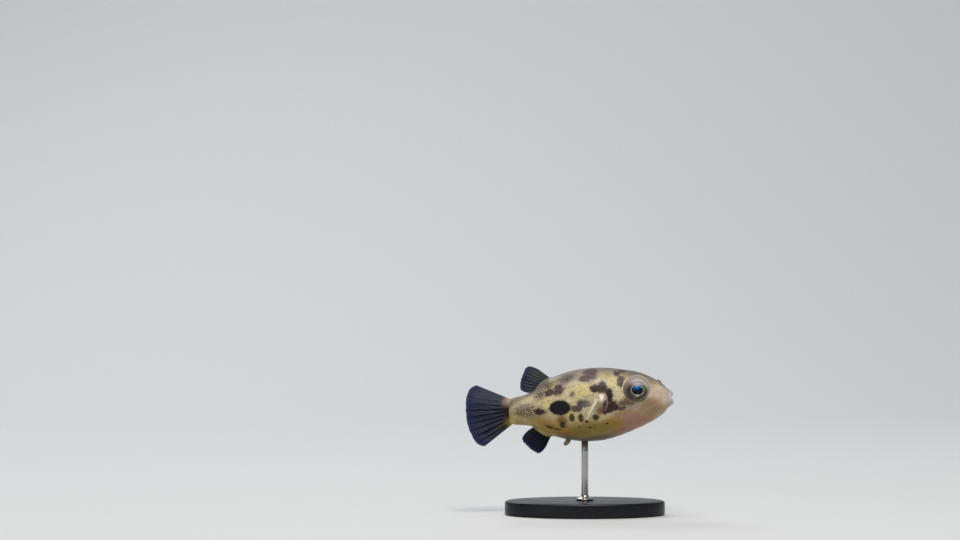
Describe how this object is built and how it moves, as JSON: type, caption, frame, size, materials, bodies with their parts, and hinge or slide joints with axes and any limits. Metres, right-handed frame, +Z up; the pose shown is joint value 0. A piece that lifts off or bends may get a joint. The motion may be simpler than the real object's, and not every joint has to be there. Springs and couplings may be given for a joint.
{
  "type": "dwarf freshwater pufferfish display model",
  "caption": "Life-size still model of a small spotted freshwater pufferfish in a swimming pose, held by a slim rod on a flat oval stand.",
  "frame": {"origin": "middle of the stand's flat underside, under the rod, on the floor", "axes": "+X towards the fish's snout, +Y to the fish's left, +Z up"},
  "size_m": [0.026, 0.012, 0.0184],
  "materials": {
    "skin": "wet satin, cream and yellow with near-black blotches",
    "lip_skin": "wet satin, pale grey-pink",
    "fin_membrane": "thin translucent blue-grey membrane with paler rays",
    "eye": "glass-clear gloss over a dark green iris and a blue-black pupil",
    "stand_base": "satin black anodised aluminium",
    "stand_rod": "ground stainless steel"
  },
  "bodies": {
    "root": {"head": "skin", "trunk": "skin", "tail": "skin", "upper_lip": "lip_skin", "lower_lip": "lip_skin", "nostril_left": "skin", "nostril_right": "skin", "vent_lobe": "skin", "eye_left": "eye", "eye_right": "eye", "caudal_fin": "fin_membrane", "dorsal_fin": "fin_membrane", "anal_fin": "fin_membrane", "pectoral_fin_left": "fin_membrane", "pectoral_fin_right": "fin_membrane", "stand_base": "stand_base", "stand_rod": "stand_rod"}
  },
  "joints": []
}
